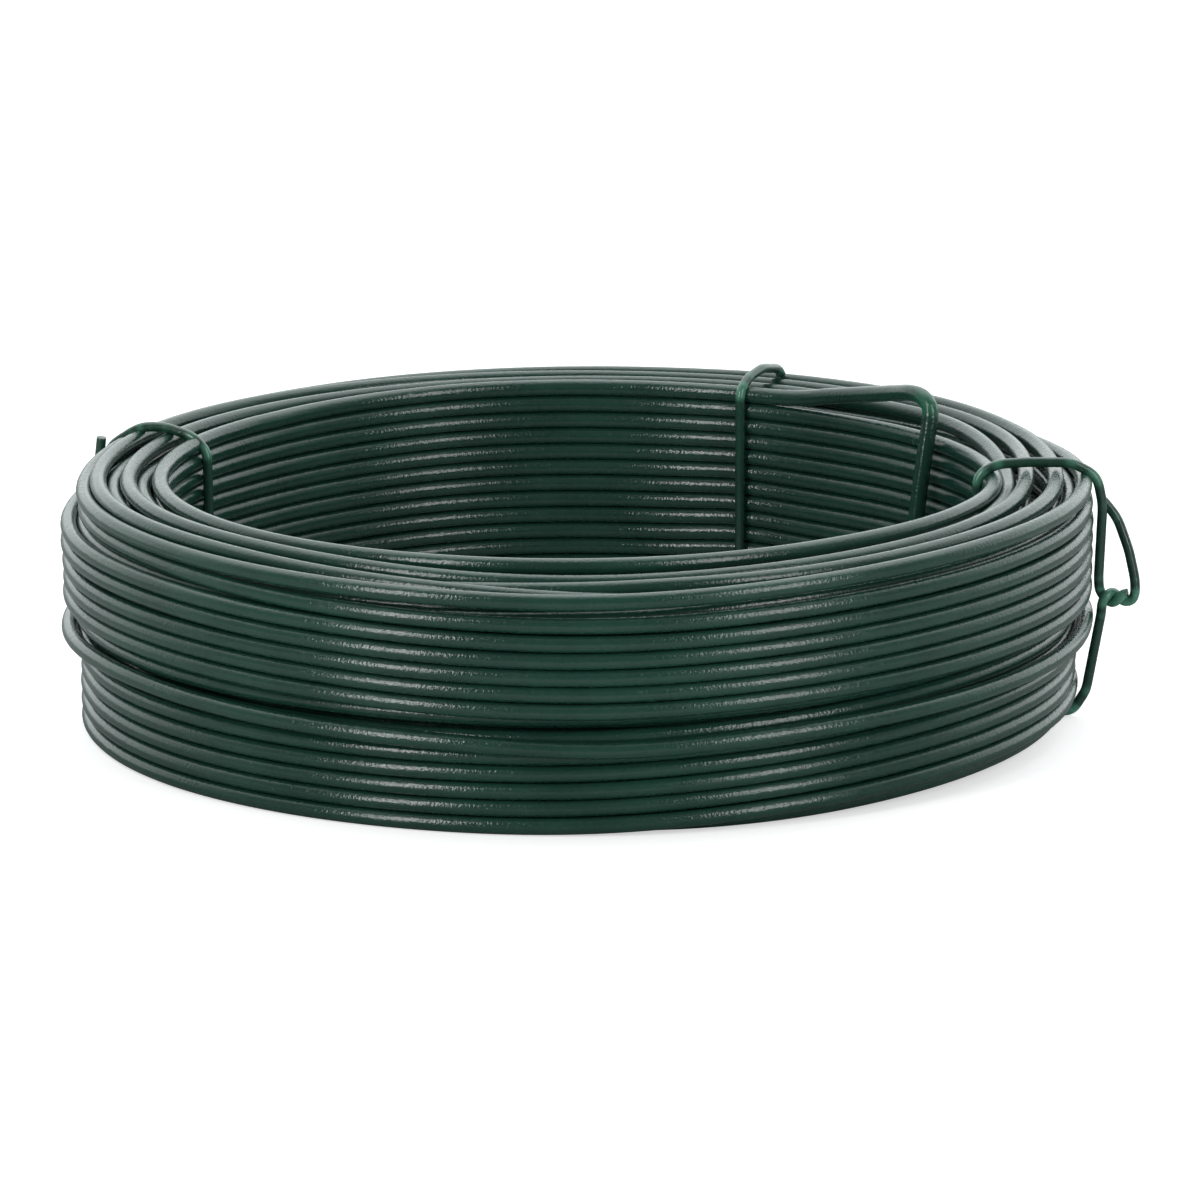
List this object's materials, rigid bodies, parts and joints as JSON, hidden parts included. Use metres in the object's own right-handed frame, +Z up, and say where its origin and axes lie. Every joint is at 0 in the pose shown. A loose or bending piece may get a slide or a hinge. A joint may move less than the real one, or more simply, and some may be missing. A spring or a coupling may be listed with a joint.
{
  "type": "coil of binding wire",
  "caption": "Flat-lying coil of dark green plastic-coated binding wire, held by twisted wire ties, with its free end hanging in the bore.",
  "frame": {"origin": "on the coil's axis, at the floor that it lies on", "axes": "+Z up along the coil's axis; +X to the right in the picture, through the right-hand tie; +Y away from the camera"},
  "size_m": [0.1296, 0.1236, 0.0346],
  "materials": {
    "coated_wire": "satin",
    "tie_wire": "satin"
  },
  "bodies": {
    "root": {"wire_coil": "coated_wire", "tie_left": "tie_wire", "tie_back": "tie_wire", "tie_right": "tie_wire"}
  },
  "joints": []
}
